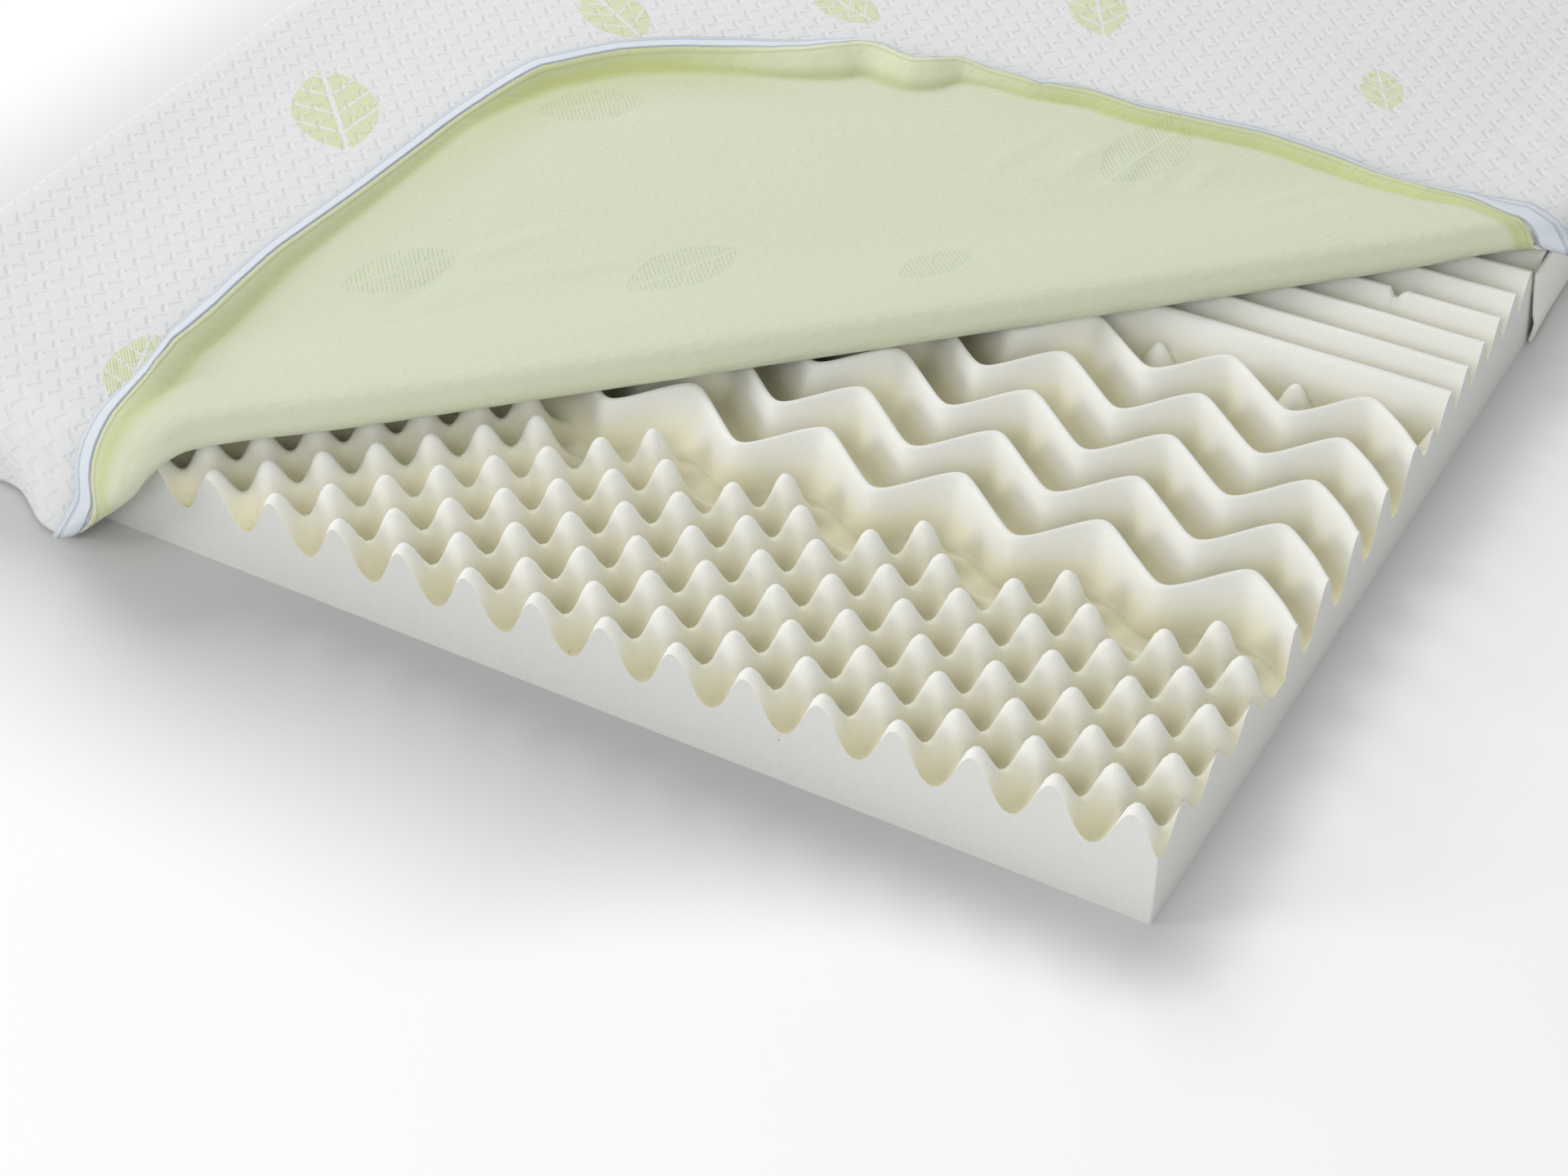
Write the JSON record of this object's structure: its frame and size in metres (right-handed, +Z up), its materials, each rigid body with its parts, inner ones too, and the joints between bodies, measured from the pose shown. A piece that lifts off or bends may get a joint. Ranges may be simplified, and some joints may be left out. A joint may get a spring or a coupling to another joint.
{
  "type": "mattress topper",
  "caption": "Foam topper with peg, zigzag and rib relief; its knit zip cover lies over it with one front corner opened and folded back.",
  "frame": {"origin": "middle of the bounding box's underside, on the surface that the topper lies on", "axes": "+Z up, Y along the topper's length with -Y at the end with the opened corner, +X to its right side, where the opened corner is"},
  "size_m": [0.9326, 2.053, 0.0967],
  "materials": {
    "foam": "matte open-cell foam, warm off-white",
    "cover_cloth": "white embossed knit outside, pale lime green inside",
    "zip_tape": "smooth woven tape, bluish white",
    "lower_cloth": "plain knit, off-white"
  },
  "bodies": {
    "root": {"foam_core": "foam", "cover": "cover_cloth", "zipper_tape": "zip_tape", "lower_cover_edge": "lower_cloth"}
  },
  "joints": []
}
